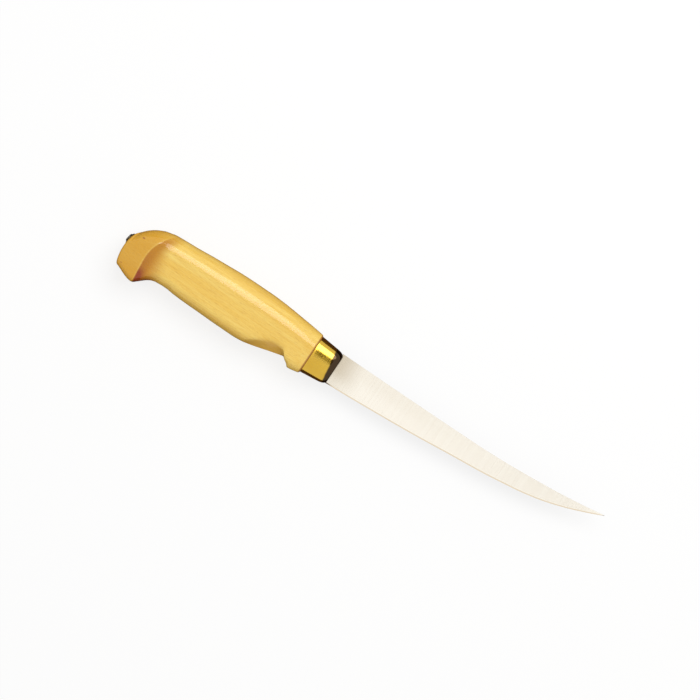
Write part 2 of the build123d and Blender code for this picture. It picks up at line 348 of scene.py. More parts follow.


# Where the handle gets painted shade: in the ridge's hollow, the notch's bevel and along the ridge's
# foot, where the varnish also lies thicker and redder, and over the pommel. A pair is where a measure
# is nothing and where it is full, in millimetres ahead of the ridge or of height.
varnishAndShade = {
    "inFront": (-0.4, 0.3),
    "hollowRun": 7.5,
    "hollowRunMore": 6.5,
    "hollowRunHeight": (6.0, -10.0),
    "hollowShare": (1.0, 0.2),  # of the hollow's own run
    "hollowHeight": (13.0, 5.0),
    "bevelShare": 0.5,
    "bevelDeep": 1.5,
    "ridgeRun": (6.0, 0.5),
    "ridgeHeights": [(0.25, (2.0, -9.0)), (0.75, (-9.5, -16.5))],
    "bellyRise": 2.6,
    "bellyRun": 11.0,
    "stainAndShadeGain": 1.3,
    "sideHeight": (10.0, 5.0),
    "behindOnSide": (0.4, -1.0),
    "behindOnBack": (7.0, -8.0),
}


def shadeAndVarnishMeasures(skin, cut):
    # Three measures from 0 to 1, made of smooth steps and straight ramps: how far in the ridge's hollow
    # or the notch's bevel a point lies, how near to the ridge's foot and the belly beside it, and
    # whether it is on the pommel. All three place painted shade, and the first two also a thicker,
    # redder varnish.
    ahead = aheadOfRidge(skin[..., 0], skin[..., 1])
    height = skin[..., 1]
    inFront = smoothStep(*varnishAndShade["inFront"], ahead)
    more = varnishAndShade["hollowRunMore"] * smoothStep(*varnishAndShade["hollowRunHeight"], height)
    hollowShade = smoothStep(*varnishAndShade["hollowShare"], ahead / (varnishAndShade["hollowRun"] + more)) * inFront
    hollowShade = hollowShade * smoothStep(*varnishAndShade["hollowHeight"], height)
    bevelled = varnishAndShade["bevelShare"] * np.clip(cut / varnishAndShade["bevelDeep"], 0, 1)
    lowDown = sum(share * smoothStep(*limits, height) for share, limits in varnishAndShade["ridgeHeights"])
    upRidge = smoothStep(*varnishAndShade["ridgeRun"], ahead) * lowDown
    aboveBelly = height - curveThrough(handle["belly"], skin[..., 0])
    alongBelly = np.clip(1 - aboveBelly / varnishAndShade["bellyRise"], 0, 1)
    alongBelly = alongBelly * np.clip(1 - ahead / varnishAndShade["bellyRun"], 0, 1)
    stainedAndShaded = np.clip(varnishAndShade["stainAndShadeGain"] * np.maximum(upRidge, alongBelly), 0, 1) * inFront
    onSide = smoothStep(*varnishAndShade["sideHeight"], height)
    behind = onSide * smoothStep(*varnishAndShade["behindOnSide"], ahead)
    behind = behind + (1 - onSide) * smoothStep(*varnishAndShade["behindOnBack"], ahead)
    return {"hollowShade": np.maximum(hollowShade, bevelled), "stainedAndShaded": stainedAndShaded, "pommelShade": behind}


def makeHandle():
    # The butt's cap, the sections along the handle and the front's cap, as one skin
    sections, cut = handleSections()
    cap = buttCap(sections[0])
    front = frontCap(sections[-1])
    skin = np.concatenate([cap, sections, front])
    piece = ringSurface("carvedHandle", skin, "handle")
    cutOnSkin = np.zeros(skin.shape[:2])
    cutOnSkin[len(cap):-len(front)] = cut
    for label, values in shadeAndVarnishMeasures(skin, cutOnSkin).items():
        carryMeasure(piece, label, values)
    return piece


# Blade
blade = {
    "heel": -0.8,
    "tip": 149.5,
    "heelThick": 1.7,
    "tipThick": 0.55,
    "bevelHeight": 0.6,
    "bevelMost": 0.4,  # of the blade's height, near the tip
    "groundHeel": 1.35,
    "groundThick": 0.42,
    "groundRun": 0.1,
    "edgeHalf": 0.05,
    "cornerRun": 0.016,
    "cornerMost": 0.25,
    "cornerNext": 1.6,
    "flankShares": (0.25, 0.5, 0.75),
    "sections": 420,
    "spineLine": [
        (-0.8, 8.5), (10, 8.4), (30, 8.32), (50, 8.3), (80, 8.45), (94, 8.9), (99, 9.2), (109, 9.85),
        (119, 10.65), (124, 11.1), (129, 11.65), (134, 12.25), (139, 12.9), (144, 13.65), (149.6, 14.5),
    ],
    "edgeLine": [
        (-0.8, -8.2), (10, -7.75), (29, -6.6), (49, -5.2), (69, -3.35), (89, -1.6), (99, -0.35),
        (109, 1.05), (114, 2.0), (119, 3.1), (124, 4.45), (129, 6.0), (134, 7.75), (139, 9.7),
        (144, 11.75), (147, 13.1), (149.6, 14.3),
    ],
}


def makeBlade():
    # Six-sided ground section carried from heel to tip: spine flat, two flanks, two edge bevels and
    # the edge itself, each corner given two close points so that it stays crisp
    share = np.linspace(0, 1, blade["sections"])
    x = blade["heel"] + (blade["tip"] - blade["heel"]) * share
    spine = curveThrough(blade["spineLine"], x)
    edge = curveThrough(blade["edgeLine"], x)
    bevel = edge + np.minimum(blade["bevelHeight"], blade["bevelMost"] * (spine - edge))
    half = (blade["heelThick"] + (blade["tipThick"] - blade["heelThick"]) * share) / 2
    thinned = (blade["groundThick"] - blade["groundHeel"]) * np.clip(share / blade["groundRun"], 0, 1)
    ground = np.minimum((blade["groundHeel"] + thinned) / 2, half)
    keen = np.full_like(x, blade["edgeHalf"])
    corners = np.stack([
        np.stack([spine, half], -1), np.stack([bevel, ground], -1), np.stack([edge, keen], -1),
        np.stack([edge, -keen], -1), np.stack([bevel, -ground], -1), np.stack([spine, -half], -1),
    ], 1)
    following = np.roll(corners, -1, 1)
    length = np.linalg.norm(following - corners, axis=-1, keepdims=True)
    near = np.minimum(blade["cornerRun"] / np.maximum(length, 1e-6), blade["cornerMost"])
    flanks, honedSides = (0, 4), (1, 2, 3)
    points, honed = [], []
    for k in range(6):
        a, b, n = corners[:, k], following[:, k], near[:, k]
        between = [part + 0 * n for part in blade["flankShares"]] if k in flanks else []
        close = blade["cornerNext"] * n
        places = [n, close, *between, 1 - close, 1 - n]
        points += [a + (b - a) * place for place in places]
        honed += [float(k in honedSides)] * len(places)
    yz = np.stack(points, 1)
    rings = np.concatenate([np.repeat(x[:, None, None], yz.shape[1], 1), yz], -1)
    piece = ringSurface("groundBlade", rings, "blade")
    # The two edge bevels and the edge carry a measure of their own for the steel
    carryMeasure(piece, "honed", np.tile(honed, len(rings)))
    return piece


# Washer and the peened end of the tang. A skirt is its points' shares of the radius and their lifts,
# and a wave is how far it swells the radius, how often round the turn, and where it starts.
buttTurning = {
    "middle": -2.9,
    "pointsRound": 64,
    "crownPoints": 14,
    "innerShares": (0.7, 0.3),
}
washerPlate = {
    "radius": 3.25,
    "crown": 1.5,
    "rim": -0.14,
    "top": 0.62,
    "skirt": [(0.5, -1.5), (0.96, -1.5), (1.0, -1.4)],
    "waves": [],
}
peenedHead = {
    "radius": 2.2,
    "crown": 1.1,
    "rim": 0.72,
    "top": 1.3,
    "skirt": [(0.4, 0.1), (1.0, 0.3)],
    "waves": [(0.018, 5, 0.7), (0.012, 9, 0.0)],
}


def turnedAtButt(shape):
    # Profile turned about the line square to the butt's arc: a straight skirt, a quarter-ellipse
    # crown from the rim up to the top, and a flat middle. Sine waves swell the radius round the turn.
    turn = np.linspace(0, quarterTurn, buttTurning["crownPoints"])
    crown = shape["radius"] - shape["crown"] * (1 - np.cos(turn))
    rise = shape["rim"] + (shape["top"] - shape["rim"]) * np.sin(turn)
    shares, lows = np.array(shape["skirt"]).T
    inner = crown[-1] * np.array(buttTurning["innerShares"])
    radii = np.concatenate([shape["radius"] * shares, crown, inner])
    lifts = np.concatenate([lows, rise, [shape["top"]] * len(inner)])
    around = np.arange(buttTurning["pointsRound"]) / buttTurning["pointsRound"] * 2 * math.pi
    swell = np.ones(len(around))
    for size, times, start in shape["waves"]:
        swell = swell + size * np.sin(times * around + start)
    cx, cy = handle["buttCentre"]
    arc = handle["buttRadius"]
    side = buttTurning["middle"] - cy
    axis = np.array([-math.sqrt(arc ** 2 - side ** 2), side, 0]) / arc
    base = np.array([cx, cy, 0]) + axis * arc
    across = np.array([axis[1], -axis[0], 0])
    spokes = np.cos(around)[:, None] * across + np.sin(around)[:, None] * np.array([0, 0, 1.0])
    return base + lifts[:, None, None] * axis + (radii[:, None] * swell)[:, :, None] * spokes


def makeWasher():
    # Round plate whose skirt stands in the wood
    return ringSurface("domedWasher", turnedAtButt(washerPlate), "butt_washer")


def makeTangHead():
    # Low dome over the washer, with hammer flats as a small ripple in its radius
    return ringSurface("peenedTangEnd", turnedAtButt(peenedHead), "blade")


# Ferrule
ferrule = {
    "rear": -13.7,
    "back": ferruleBack,
    "belly": 10.5,
    "half": 7.4,
    "narrowing": 1.45,
    "backRound": 6.2,
    "bellyRound": 4.8,
    "leastRound": 0.4,
    "noseRun": 3.8,
    "noseDeep": 1.8,
    "lip": 0.25,
    "rearSteps": [(0.4, 3.0), (0.0, 2.0), (0.0, 0.5), (0.0, 0.15), (0.075, 0.0375)],  # forward, inset
    "taperStart": 1.2,
    "taperSections": 12,
    "noseSections": 20,
    "frontInsets": (0.15, 0.6, 1.5, 3.0),
    "cornerPoints": 15,
    "flatPoints": (4, 9, 5),  # over the back, down the side, under the belly
    "dome": 0.22,
    "domeMiddle": -1.5,
    "domeReach": 6.0,
}


def ferruleOutline(inset):
    # Rounded rectangle set in from the rear outline: straight runs and quarter circles
    back, belly = ferrule["back"] - inset, ferrule["belly"] - inset
    half = ferrule["half"] - inset
    upper = max(ferrule["backRound"] - inset, ferrule["leastRound"])
    under = max(ferrule["bellyRound"] - inset, ferrule["leastRound"])
    turn = np.linspace(0, quarterTurn, ferrule["cornerPoints"])
    topArc = np.stack([back - upper + upper * np.cos(turn), half - upper + upper * np.sin(turn)], -1)
    lowArc = np.stack([-belly + under - under * np.sin(turn), half - under + under * np.cos(turn)], -1)
    topCount, sideCount, lowCount = ferrule["flatPoints"]
    topFlat = np.linspace([back, 0], topArc[0], topCount)[:-1]
    flatSide = np.linspace(topArc[-1], lowArc[0], sideCount)[1:-1]
    lowFlat = np.linspace(lowArc[-1], [-belly, 0], lowCount)[1:]
    upperHalf = np.vstack([topFlat, topArc, flatSide, lowArc, lowFlat])
    lowerHalf = upperHalf[-2:0:-1] * np.array([1, -1])
    return np.vstack([upperHalf, lowerHalf])


def makeFerrule():
    # The outline drawn in along a straight taper, then round the nose as a quarter ellipse to a flat
    # front. A step is a place along x and how far the outline is set in there.
    rear, lip = ferrule["rear"], ferrule["lip"]
    run, deep = ferrule["noseRun"], ferrule["noseDeep"]
    lean = ferrule["narrowing"] / -rear
    steps = [(rear + forward, inset) for forward, inset in ferrule["rearSteps"]]
    steps.append((rear + lip, lean * lip))
    for x in np.linspace(rear + ferrule["taperStart"], -run, ferrule["taperSections"]):
        steps.append((x, lean * (x - rear)))
    side = lean * (-run - rear)
    for angle in np.linspace(0, quarterTurn, ferrule["noseSections"])[1:]:
        forward, inward = run * math.sin(angle), deep * (1 - math.cos(angle))
        steps.append((-run + forward, side + lean * run * math.sin(angle) + inward))
    noseInset = steps[-1][1]
    steps += [(0.0, noseInset + more) for more in ferrule["frontInsets"]]
    outlines = np.array([ferruleOutline(inset) for _, inset in steps])
    places = np.array([x for x, _ in steps])[:, None, None]
    rings = np.concatenate([np.broadcast_to(places, (*outlines.shape[:2], 1)), outlines], -1)
    # The pressed sides are faintly domed: highest at mid height, falling off with the square of y
    fromMiddle = np.abs(rings[..., 1] - ferrule["domeMiddle"]) / ferrule["domeReach"]
    drop = ferrule["dome"] * np.clip(fromMiddle, 0, 1) ** 2
    rings[..., 2] -= np.sign(rings[..., 2]) * np.minimum(drop, np.abs(rings[..., 2]))
    return ringSurface("brassFerrule", rings, "ferrule")


handlePiece = makeHandle()
bladePiece = makeBlade()
headPiece = makeTangHead()
ferrulePiece = makeFerrule()
washerPiece = makeWasher()
beddingPiece = nodes["tang_bedding"]


# Helpers for the materials
def startMaterial(name):
    # Empty node tree with one principled shader on its output
    material = bpy.data.materials.new(name)
    material.use_nodes = True
    tree = material.node_tree
    tree.nodes.clear()
    output = tree.nodes.new("ShaderNodeOutputMaterial")
    shader = tree.nodes.new("ShaderNodeBsdfPrincipled")
    tree.links.new(shader.outputs[0], output.inputs["Surface"])
    return material, tree, shader


def feed(tree, value, socket):
    # A number or a colour is written on the socket, and the output of a node is linked to it
    if isinstance(value, (int, float)):
        socket.default_value = value
    elif isinstance(value, tuple):
        socket.default_value = (*value, 1)
    else:
        tree.links.new(value, socket)


def placed(tree, stretch, offset):
    # Object coordinates times the stretch on each axis, plus the offset
    coords = tree.nodes.new("ShaderNodeTexCoord")
    mapping = tree.nodes.new("ShaderNodeMapping")
    mapping.inputs["Scale"].default_value = stretch
    mapping.inputs["Location"].default_value = offset
    tree.links.new(coords.outputs["Object"], mapping.inputs["Vector"])
    return mapping.outputs[0]


def noise(tree, stretch, offset, detail, roughness, distortion=0.0):
    # Sum of layers of noise, each twice as fine as the last and roughness times as strong
    vector = placed(tree, stretch, offset)
    node = tree.nodes.new("ShaderNodeTexNoise")
    node.inputs["Scale"].default_value = 1.0
    node.inputs["Detail"].default_value = detail
    node.inputs["Roughness"].default_value = roughness
    node.inputs["Distortion"].default_value = distortion
    tree.links.new(vector, node.inputs["Vector"])
    return node.outputs[0]


def ranged(tree, value, low, high, outLow=0.0, outHigh=1.0, smooth=False):
    # Straight line from outLow at low to outHigh at high, held level outside and eased where smooth
    node = tree.nodes.new("ShaderNodeMapRange")
    node.interpolation_type = "SMOOTHSTEP" if smooth else "LINEAR"
    node.inputs["From Min"].default_value = low
    node.inputs["From Max"].default_value = high
    node.inputs["To Min"].default_value = outLow
    node.inputs["To Max"].default_value = outHigh
    tree.links.new(value, node.inputs["Value"])
    return node.outputs[0]


def maths(tree, operation, a, b):
    # One operation on two values, each a number or the output of a node
    node = tree.nodes.new("ShaderNodeMath")
    node.operation = operation
    feed(tree, a, node.inputs[0])
    feed(tree, b, node.inputs[1])
    return node.outputs[0]


def mixColour(tree, factor, a, b):
    # Blend of two colours: a times one less the factor, plus b times the factor
    node = tree.nodes.new("ShaderNodeMix")
    node.data_type = "RGBA"
    feed(tree, factor, node.inputs[0])
    feed(tree, a, node.inputs[6])  # inputs 6 and 7 and output 2 are the ones for colours
    feed(tree, b, node.inputs[7])
    return node.outputs[2]


def surfaced(tree, shader, colour, rough, metallic):
    # Colour and roughness come from nodes, and metallic is the same all over
    tree.links.new(colour, shader.inputs["Base Color"])
    tree.links.new(rough, shader.inputs["Roughness"])
    shader.inputs["Metallic"].default_value = metallic


def bumped(tree, shader, height, distance, strength):
    # The surface seems to stand height times distance, in metres, above the mesh
    node = tree.nodes.new("ShaderNodeBump")
    node.inputs["Strength"].default_value = strength
    node.inputs["Distance"].default_value = distance
    tree.links.new(height, node.inputs["Height"])
    tree.links.new(node.outputs[0], shader.inputs["Normal"])


def axisValues(tree, count):
    # Object x, y and z, or the first of them, in drawing millimetres: less the origin, over mm
    coords = tree.nodes.new("ShaderNodeTexCoord")
    split = tree.nodes.new("ShaderNodeSeparateXYZ")
    tree.links.new(coords.outputs["Object"], split.inputs[0])
    values = []
    for k in range(count):
        moved = maths(tree, "SUBTRACT", split.outputs[k], float(drawingOrigin[k]))
        values.append(maths(tree, "DIVIDE", moved, mm))
    return values


def measured(tree, label):
    # One of the measures that a piece's mesh carries
    node = tree.nodes.new("ShaderNodeAttribute")
    node.attribute_name = label
    return node.outputs["Fac"]


# Materials. A grain is the stretch, offset, detail, roughness and distortion of a noise. A range is
# low, high, the values at both, which are 0 and 1 if left out, and True where it is eased. A bump is
# its height in metres and its strength.
birch = {
    "pale": (0.885, 0.635, 0.155),
    "gold": (0.84, 0.54, 0.095),
    "fibre": (0.75, 0.43, 0.055),
    "pore": (0.42, 0.18, 0.02),
    # Painted shade, with a thicker and redder varnish, in the hollows and along the ridge's foot
    "stainAndShade": (0.26, 0.032, 0.003),
    "amberShade": (0.51, 0.205, 0.002),
    # Painted shade over the pommel's cheeks
    "pommel": (0.63, 0.295, 0.008),
    "seam": (0.33, 0.10, 0.02),
    "fleck": (0.25, 0.04, 0.012),
    "broadGrain": ((14, 210, 210), (0, 0, 0), 4, 0.55, 0.6),
    "fineGrain": ((60, 1500, 1500), (3, 1, 2), 3, 0.6),
    "poreGrain": ((330, 5200, 5200), (7, 0, 5), 2, 0.5),
    "ripples": ((220, 900, 900), (0, 0, 0), 3, 0.6),
    "pits": ((1000, 1700, 1700), (4, 2, 6), 2, 0.6),
    "toGold": (0.35, 0.68),
    "toFibre": (0.40, 0.72, 0.0, 0.55),
    "toPore": (0.56, 0.74, 0.0, 0.42),
    # Painted shade along the belly and the back
    "bellyShadeRange": (-9.5, -15.0, 0, 0.25, True),
    "backShadeRange": (8.5, 13.5, 0, 0.3, True),
    "measuredTones": [
        ("pommelShade", 0.75, "pommel"), ("hollowShade", 0.96, "amberShade"), ("stainedAndShaded", 0.95, "stainAndShade"),
    ],
    "seamRange": (-14.7, -14.1, 0.0, 0.8, True),
    "flecks": [((-113.2, 1.0), (0.85, 0.45), 0.65), ((-115.9, -15.0), (0.7, 0.35), 0.4)],
    "fleckFade": (0.2, 1.3),
    "fleckSide": (2.0, 4.0, 0, 1, True),
    "roughRange": (0.3, 0.8, 0.37, 0.50),
    "specular": 0.08,
    "coatWeight": 1.0,
    "coatRoughness": 0.15,
    "coatIor": 1.43,
    "pitShare": 0.9,
    "bump": (0.00021, 0.8),
}


def spot(tree, x, y, centre, radii, strength):
    # Soft ellipse: the squares of both distances over their radii, added, fade strength to nothing
    squares = []
    for value, middle, radius in zip((x, y), centre, radii):
        share = maths(tree, "DIVIDE", maths(tree, "SUBTRACT", value, middle), radius)
        squares.append(maths(tree, "POWER", share, 2.0))
    return ranged(tree, maths(tree, "ADD", *squares), *birch["fleckFade"], strength, 0.0, True)


def birchMaterial():
    # Pale wood blended step by step with each darker tone, by the grain, by place and by the measures
    # of the handle, several of them painted shade, under a clear coat
    material, tree, shader = startMaterial("varnishedBirch")
    x, y, z = axisValues(tree, 3)
    broad = noise(tree, *birch["broadGrain"])
    fine = noise(tree, *birch["fineGrain"])
    pores = noise(tree, *birch["poreGrain"])
    colour = mixColour(tree, ranged(tree, broad, *birch["toGold"]), birch["pale"], birch["gold"])
    colour = mixColour(tree, ranged(tree, fine, *birch["toFibre"]), colour, birch["fibre"])
    colour = mixColour(tree, ranged(tree, pores, *birch["toPore"]), colour, birch["pore"])
    # Painted shade: browner where the belly and the back turn away from the light
    bellyShade = ranged(tree, y, *birch["bellyShadeRange"])
    backShade = ranged(tree, y, *birch["backShadeRange"])
    colour = mixColour(tree, maths(tree, "MAXIMUM", bellyShade, backShade), colour, birch["amberShade"])
    # Painted shade: browner on the pommel, whose cheeks turn away from the light, and redder in the
    # hollows and along the ridge's foot, where shade falls and the varnish also lies thicker
    for label, share, tone in birch["measuredTones"]:
        factor = maths(tree, "MULTIPLY", measured(tree, label), share)
        colour = mixColour(tree, factor, colour, birch[tone])
    # Darker line where the wood meets the brass, and two small flecks in the grain of the pommel, on
    # the side that faces up
    colour = mixColour(tree, ranged(tree, x, *birch["seamRange"]), colour, birch["seam"])
    flecks = maths(tree, "MAXIMUM", *[spot(tree, x, y, *fleck) for fleck in birch["flecks"]])
    flecks = maths(tree, "MULTIPLY", flecks, ranged(tree, z, *birch["fleckSide"]))
    colour = mixColour(tree, flecks, colour, birch["fleck"])
    surfaced(tree, shader, colour, ranged(tree, fine, *birch["roughRange"]), 0.0)
    shader.inputs["Specular IOR Level"].default_value = birch["specular"]
    shader.inputs["Coat Weight"].default_value = birch["coatWeight"]
    shader.inputs["Coat Roughness"].default_value = birch["coatRoughness"]
    shader.inputs["Coat IOR"].default_value = birch["coatIor"]
    # The varnish follows the fibres under it: drawn-out ripples and a fine pitting
    ripples = noise(tree, *birch["ripples"])
    pits = noise(tree, *birch["pits"])
    height = maths(tree, "ADD", ripples, maths(tree, "MULTIPLY", pits, birch["pitShare"]))
    bumped(tree, shader, height, *birch["bump"])
    return material


steel = {
    "light": (0.995, 0.95, 0.85),
    "dark": (0.955, 0.885, 0.77),
    # Painted shade by the heel and towards the spine near the ferrule
    "heel": (0.60, 0.51, 0.37),
    "bevel": (0.82, 0.70, 0.53),
    "groundLines": ((2300, 22, 22), (0, 0, 0), 4, 0.7),
    "bands": ((520, 12, 12), (2, 4, 1), 3, 0.6),
    "cloud": ((42, 60, 60), (5, 3, 1), 2, 0.5),
    "toDark": (0.3, 0.75),
    "toBand": (0.45, 0.75, 0, 0.10),
    "heelShadeRun": (0.0, 17.0, 0.75, 0.0, True),
    "heelShadeHeight": (-7.0, 1.0, 0.45, 1.0, True),
    "spineShadeHeight": (-2.0, 5.0, 0.0, 0.12, True),
    "spineShadeRun": (30.0, 80.0, 1, 0, True),
    "roughRange": (0.3, 0.75, 0.15, 0.25),
    "cloudRough": (0.35, 0.7, -0.02, 0.03),
    "bump": (0.000008, 0.5),
}


def steelMaterial():
    # Cross-ground satin: noise drawn out over the blade's height, fine along its length. Darker by the
    # heel and a little towards the spine near the ferrule, as painted shade, and on the honed bevels.
    material, tree, shader = startMaterial("satinSteel")
    x, y = axisValues(tree, 2)
    lines = noise(tree, *steel["groundLines"])
    bands = noise(tree, *steel["bands"])
    cloud = noise(tree, *steel["cloud"])
    colour = mixColour(tree, ranged(tree, lines, *steel["toDark"]), steel["light"], steel["dark"])
    colour = mixColour(tree, ranged(tree, bands, *steel["toBand"]), colour, steel["dark"])
    # Painted shade near the ferrule: darker by the heel and along the spine
    alongHeelShade = ranged(tree, x, *steel["heelShadeRun"])
    heelShade = maths(tree, "MULTIPLY", alongHeelShade, ranged(tree, y, *steel["heelShadeHeight"]))
    upSpineShade = ranged(tree, y, *steel["spineShadeHeight"])
    spineShade = maths(tree, "MULTIPLY", upSpineShade, ranged(tree, x, *steel["spineShadeRun"]))
    colour = mixColour(tree, maths(tree, "MAXIMUM", heelShade, spineShade), colour, steel["heel"])
    colour = mixColour(tree, measured(tree, "honed"), colour, steel["bevel"])
    lineRough = ranged(tree, lines, *steel["roughRange"])
    rough = maths(tree, "ADD", lineRough, ranged(tree, cloud, *steel["cloudRough"]))
    surfaced(tree, shader, colour, rough, 1.0)
    bumped(tree, shader, lines, *steel["bump"])
    return material


brass = {
    "light": (0.69, 0.44, 0.05),
    "deep": (0.60, 0.35, 0.03),
    # Painted dark reflection over the nose
    "darkNoseReflection": (0.028, 0.012, 0.006),
    "haze": ((130, 130, 130), (0, 0, 0), 4, 0.55),
    "hairs": ((6000, 240, 240), (1, 2, 3), 2, 0.6),
    "toDeep": (0.35, 0.72, 0, 0.7),
    "reachByHeight": (-7.0, 7.0, 0.0, 2.5),
    "reachByHaze": (0.3, 0.7, -0.4, 0.4),
    "darkNoseRange": (-2.6, -1.7, 0.0, 0.965, True),
    "roughRange": (0.35, 0.75, 0.07, 0.17),
    "hazeRough": (0.35, 0.72, 0, 0.06),
    "lacquerWeight": 0.4,
    "lacquerRoughness": 0.06,
    "bump": (0.000004, 0.5),
}


def brassMaterial():
    # Polished, with hairline scratches round the cap, a faint haze, and a painted dark reflection over
    # the nose
    material, tree, shader = startMaterial("polishedBrass")
    x, y = axisValues(tree, 2)
    haze = noise(tree, *brass["haze"])
    hairs = noise(tree, *brass["hairs"])
    colour = mixColour(tree, ranged(tree, haze, *brass["toDeep"]), brass["light"], brass["deep"])
    # The painted dark reflection on the nose reaches further back on the spine's side, and its border
    # wanders
    reach = maths(tree, "ADD", x, ranged(tree, y, *brass["reachByHeight"]))
    reach = maths(tree, "ADD", reach, ranged(tree, haze, *brass["reachByHaze"]))
    colour = mixColour(tree, ranged(tree, reach, *brass["darkNoseRange"]), colour, brass["darkNoseReflection"])
    hairRough = ranged(tree, hairs, *brass["roughRange"])
    rough = maths(tree, "ADD", hairRough, ranged(tree, haze, *brass["hazeRough"]))
    surfaced(tree, shader, colour, rough, 1.0)
    # A thin clear lacquer keeps it bright
    shader.inputs["Coat Weight"].default_value = brass["lacquerWeight"]
    shader.inputs["Coat Roughness"].default_value = brass["lacquerRoughness"]
    bumped(tree, shader, hairs, *brass["bump"])
    return material


tarnishedPlate = {
    "light": (0.20, 0.14, 0.07),
    "dark": (0.06, 0.04, 0.022),
    "mottle": ((1400, 1400, 1400), (0, 0, 0), 4, 0.6),
    "toDark": (0.35, 0.65),
    "roughRange": (0.3, 0.7, 0.32, 0.57),
    "metallic": 1.0,
    "bump": (0.00004, 0.6),
}
hammeredEnd = {
    "light": (0.26, 0.23, 0.17),
    "dark": (0.07, 0.06, 0.05),
    "mottle": ((1100, 1100, 1100), (0, 0, 0), 3, 0.6),
    "toDark": (0.35, 0.65),
    "roughRange": (0.3, 0.7, 0.30, 0.48),
    "metallic": 1.0,
    "bump": (0.00012, 0.7),
    "dents": (900, 900, 900),
}
resin = {
    "light": (0.30, 0.18, 0.08),
    "dark": (0.20, 0.11, 0.05),
    "mottle": ((500, 500, 500), (0, 0, 0), 4, 0.6),
    "toDark": (0.3, 0.7),
    "roughRange": (0.3, 0.7, 0.45, 0.65),
    "metallic": 0.0,
    "bump": (0.00006, 0.5),
}


def mottledMaterial(name, finish):
    # One cloudy noise gives the colour between light and dark, the roughness and the bump. Where the
    # finish has dents, the bump is the distance to the middle of the nearest cell instead.
    material, tree, shader = startMaterial(name)
    mottle = noise(tree, *finish["mottle"])
    colour = mixColour(tree, ranged(tree, mottle, *finish["toDark"]), finish["light"], finish["dark"])
    surfaced(tree, shader, colour, ranged(tree, mottle, *finish["roughRange"]), finish["metallic"])
    height = mottle
    if "dents" in finish:
        cells = tree.nodes.new("ShaderNodeTexVoronoi")
        cells.inputs["Scale"].default_value = 1.0
        tree.links.new(placed(tree, finish["dents"], (0, 0, 0)), cells.inputs["Vector"])
        height = cells.outputs["Distance"]
    bumped(tree, shader, height, *finish["bump"])
    return material


def dress(piece, material):
    # The piece wears this one material
    piece.data.materials.clear()
    piece.data.materials.append(material)


dress(handlePiece, birchMaterial())
dress(bladePiece, steelMaterial())
dress(headPiece, mottledMaterial("hammeredSteel", hammeredEnd))
dress(ferrulePiece, brassMaterial())
dress(washerPiece, mottledMaterial("tarnishedWasher", tarnishedPlate))
for materialSlot in beddingPiece.material_slots:
    materialSlot.material = mottledMaterial("curedResin", resin)
print("materials dressed")


# Floor, light and camera
studio = {
    "floorSize": 6.0,
    "floorFaces": 6,
    "floorTone": 0.95,
    "floorGlow": 0.82,
    "worldTone": (1, 0.985, 0.96),
    "worldLevel": 0.50,
    "keyPlace": (0.03, 0.46, 0.93),
    "keyAim": (-0.05, 0, 0),
    "keySize": (0.95, 0.72),
    "keyPower": 7.3,
    "flagAngles": (3.2, 9.0),
    "flagRun": (0.07, 0.30),
    "flagTone": (0.13, 0.11, 0.06),
    "flagHeight": 0.70,
    "ringHole": 0.002,
    "ringRadius": 0.55,
    "ringLift": 0.0003,
    "ringHeight": 0.06,
    "ringSteps": 48,
    "ringTone": (0.085, 0.05, 0.03),
}


def seenDirectly(tree):
    # One for what the camera sees, mirrored or through glass too, nothing for the light that falls
    rays = tree.nodes.new("ShaderNodeLightPath")
    mirroredToo = maths(tree, "ADD", rays.outputs["Is Camera Ray"], rays.outputs["Is Glossy Ray"])
    throughToo = maths(tree, "ADD", mirroredToo, rays.outputs["Is Transmission Ray"])
    return maths(tree, "MINIMUM", throughToo, 1.0)


def makeFloor():
    # Flat grid, one metre to a face. Its own tone takes the light, and where it is seen a share of
    # that gives way to a white glow.
    faces = studio["floorFaces"]
    row = faces + 1
    steps = np.linspace(-studio["floorSize"] / 2, studio["floorSize"] / 2, row)
    gx, gy = np.meshgrid(steps, steps, indexing="ij")
    verts = np.stack([gx, gy, np.zeros_like(gx)], -1).reshape(-1, 3)
    i, j = np.meshgrid(np.arange(faces), np.arange(faces), indexing="ij")
    corner = i * row + j
    quads = np.stack([corner, corner + row, corner + row + 1, corner + 1], -1).reshape(-1, 4)
    mesh = bpy.data.meshes.new("studioFloor")
    mesh.from_pydata(verts.tolist(), [], quads.tolist())
    floor = bpy.data.objects.new("studioFloor", mesh)
    bpy.context.scene.collection.objects.link(floor)
    material = bpy.data.materials.new("paleFloor")
    material.use_nodes = True
    tree = material.node_tree
    tree.nodes.clear()
    output = tree.nodes.new("ShaderNodeOutputMaterial")
    matt = tree.nodes.new("ShaderNodeBsdfDiffuse")
    matt.inputs["Color"].default_value = (studio["floorTone"],) * 3 + (1,)
    glow = tree.nodes.new("ShaderNodeEmission")
    mix = tree.nodes.new("ShaderNodeMixShader")
    tree.links.new(maths(tree, "MULTIPLY", seenDirectly(tree), studio["floorGlow"]), mix.inputs[0])
    tree.links.new(matt.outputs[0], mix.inputs[1])
    tree.links.new(glow.outputs[0], mix.inputs[2])
    tree.links.new(mix.outputs[0], output.inputs["Surface"])
    mesh.materials.append(material)
    return floor


def makeLamp(name, place, aim, size, power):
    # Elliptical softbox that faces along the line from its place to its aim
    data = bpy.data.lights.new(name, "AREA")
    data.shape = "ELLIPSE"
    data.size, data.size_y = size
    data.energy = power
    lamp = bpy.data.objects.new(name, data)
    bpy.context.scene.collection.objects.link(lamp)
    lamp.location = place
    lamp.rotation_mode = "QUATERNION"
    lamp.rotation_quaternion = (Vector(aim) - Vector(place)).to_track_quat("-Z", "Y")
    return lamp


